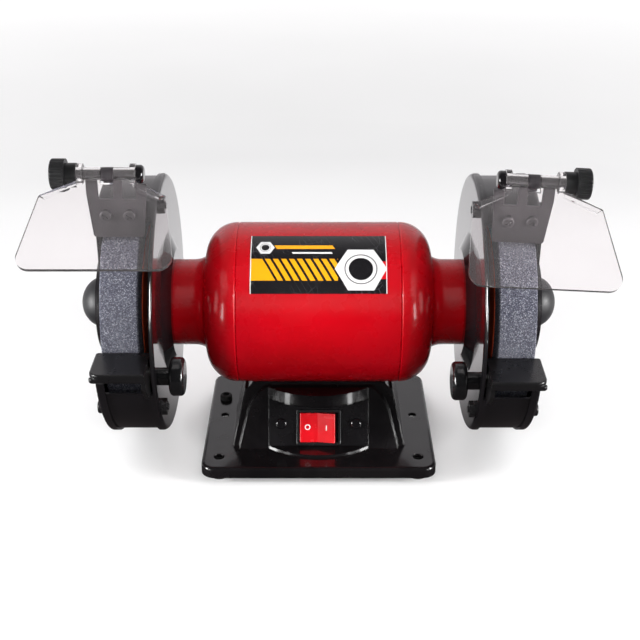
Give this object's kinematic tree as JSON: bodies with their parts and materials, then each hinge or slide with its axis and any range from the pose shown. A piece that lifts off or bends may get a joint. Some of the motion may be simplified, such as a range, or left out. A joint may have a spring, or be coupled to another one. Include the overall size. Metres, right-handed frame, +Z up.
{
  "type": "bench grinder",
  "caption": "Double-ended bench grinder with a red motor on a black pedestal, guarded wheels, tool rests, spark arrestors and clear eye shields.",
  "frame": {"origin": "on the bench top, midway between the two front bench holes of the base", "axes": "+X to the right along the shaft, -Y to the front where the operator stands, +Z up"},
  "size_m": [0.3727, 0.2003, 0.2346],
  "materials": {
    "motor_red": "glossy enamel",
    "bell_red": "glossy enamel over a casting",
    "guard_black": "glossy powder coat on sheet steel",
    "cover_black": "glossy powder coat on sheet steel",
    "rest_black": "glossy enamel on bent steel",
    "base_black": "glossy enamel over a casting",
    "panel_black": "satin sheet",
    "arrestor_grey": "satin sheet steel",
    "cap_plastic": "matt moulding",
    "knob_black": "glossy moulding",
    "grip_black": "knurled moulding",
    "abrasive": "vitrified grit",
    "blotter_card": "blotting card",
    "bush_plastic": "moulded bush",
    "turned_steel": "turned",
    "zinc_steel": "zinc plated",
    "black_steel": "blacked",
    "bearing_steel": "ground and polished",
    "lamination": "stacked sheet",
    "copper": "varnished wire",
    "cast_aluminium": "die cast",
    "clear_shield": "clear, polished",
    "rocker_red": "glossy moulding",
    "switch_black": "moulding",
    "label_film": "printed film",
    "rubber_black": "moulded rubber",
    "capacitor_can": "drawn can",
    "terminal_plastic": "moulded block",
    "cover_steel": "plated sheet"
  },
  "bodies": {
    "frame": {"arrestor_screws": "zinc_steel", "base": "base_black", "bearing_outer_rings": "bearing_steel", "bottom_cover": "cover_steel", "bottom_screws": "zinc_steel", "capacitor": "capacitor_can", "capacitor_clamp": "zinc_steel", "cord_gland": "rubber_black", "end_bell_left": "bell_red", "end_bell_right": "bell_red", "front_label": "label_film", "front_panel": "panel_black", "guard_nuts": "zinc_steel", "guard_screws": "black_steel", "hub_cap_left": "cap_plastic", "hub_cap_right": "cap_plastic", "motor_tube": "motor_red", "neck_screws": "zinc_steel", "outer_cover_left": "cover_black", "outer_cover_right": "cover_black", "panel_screws": "black_steel", "rest_bolts": "black_steel", "rest_washers": "zinc_steel", "rubber_feet": "rubber_black", "saddle_bolts": "zinc_steel", "saddle_nuts": "zinc_steel", "stator_core": "lamination", "stator_windings": "copper", "switch_body": "switch_black", "terminal_block": "terminal_plastic", "wheel_guard_left": "guard_black", "wheel_guard_right": "guard_black"},
    "rotor": {"shaft": "turned_steel", "rotor_core": "lamination", "rotor_cage": "cast_aluminium", "wheel_left": "abrasive", "wheel_right": "abrasive", "wheel_bushes": "bush_plastic", "blotters": "blotter_card", "inner_flanges": "turned_steel", "outer_flanges": "turned_steel", "spindle_nuts": "zinc_steel", "bearing_inner_rings": "bearing_steel", "bearing_balls": "bearing_steel"},
    "rocker": {"switch_rocker": "rocker_red"},
    "rest_left": {"tool_rest_left": "rest_black"},
    "rest_knob_left": {"rest_knob_left": "knob_black"},
    "arrestor_left": {"spark_arrestor_left": "arrestor_grey", "hinge_bolt_left": "black_steel"},
    "shield_left": {"eye_shield_left": "clear_shield"},
    "shield_knob_left": {"shield_knob_left": "grip_black"},
    "rest_right": {"tool_rest_right": "rest_black"},
    "rest_knob_right": {"rest_knob_right": "knob_black"},
    "arrestor_right": {"spark_arrestor_right": "arrestor_grey", "hinge_bolt_right": "black_steel"},
    "shield_right": {"eye_shield_right": "clear_shield"},
    "shield_knob_right": {"shield_knob_right": "grip_black"}
  },
  "joints": [
    {"name": "spindle_spin", "type": "hinge", "parent": "frame", "child": "rotor", "pos_m": [0, 0.051, 0.113], "axis": [1, 0, 0], "continuous": true},
    {"name": "tool_rest_left_slide", "type": "slide", "parent": "frame", "child": "rest_left", "axis": [0, 1, 0], "range_m": [-0.012, 0]},
    {"name": "rest_knob_left_turn", "type": "hinge", "parent": "frame", "child": "rest_knob_left", "pos_m": [-0.094, -0.025, 0.0933], "axis": [1, 0, 0], "range_deg": [0, 270]},
    {"name": "spark_arrestor_left_slide", "type": "slide", "parent": "frame", "child": "arrestor_left", "axis": [0, 0, 1], "range_m": [-0.0015, 0.0015]},
    {"name": "eye_shield_left_tilt", "type": "hinge", "parent": "arrestor_left", "child": "shield_left", "pos_m": [-0.1352, 0.0034, 0.2246], "axis": [1, 0, 0], "range_deg": [-94, 28]},
    {"name": "shield_knob_left_turn", "type": "hinge", "parent": "arrestor_left", "child": "shield_knob_left", "pos_m": [-0.1624, 0.0034, 0.2246], "axis": [-1, 0, 0], "range_deg": [0, 270]},
    {"name": "tool_rest_right_slide", "type": "slide", "parent": "frame", "child": "rest_right", "axis": [0, 0.9986, 0.0523], "range_m": [-0.012, 0]},
    {"name": "rest_knob_right_turn", "type": "hinge", "parent": "frame", "child": "rest_knob_right", "pos_m": [0.094, -0.02387, 0.08935], "axis": [-1, 0, 0], "range_deg": [0, 270]},
    {"name": "spark_arrestor_right_slide", "type": "slide", "parent": "frame", "child": "arrestor_right", "axis": [0.0523, -0.0523, 0.9973], "range_m": [-0.0015, 0.0015]},
    {"name": "eye_shield_right_tilt", "type": "hinge", "parent": "arrestor_right", "child": "shield_right", "pos_m": [0.13734, -0.00236, 0.22164], "axis": [0.9986, 0.0027, -0.0523], "range_deg": [-102, 18]},
    {"name": "shield_knob_right_turn", "type": "hinge", "parent": "arrestor_right", "child": "shield_knob_right", "pos_m": [0.16451, -0.00228, 0.22022], "axis": [0.9986, 0.0027, -0.0523], "range_deg": [0, 270]},
    {"name": "switch_rock", "type": "hinge", "parent": "frame", "child": "rocker", "pos_m": [0, 0.01898, 0.02846], "axis": [0, 0.3257, 0.9455], "range_deg": [0, 16]}
  ]
}
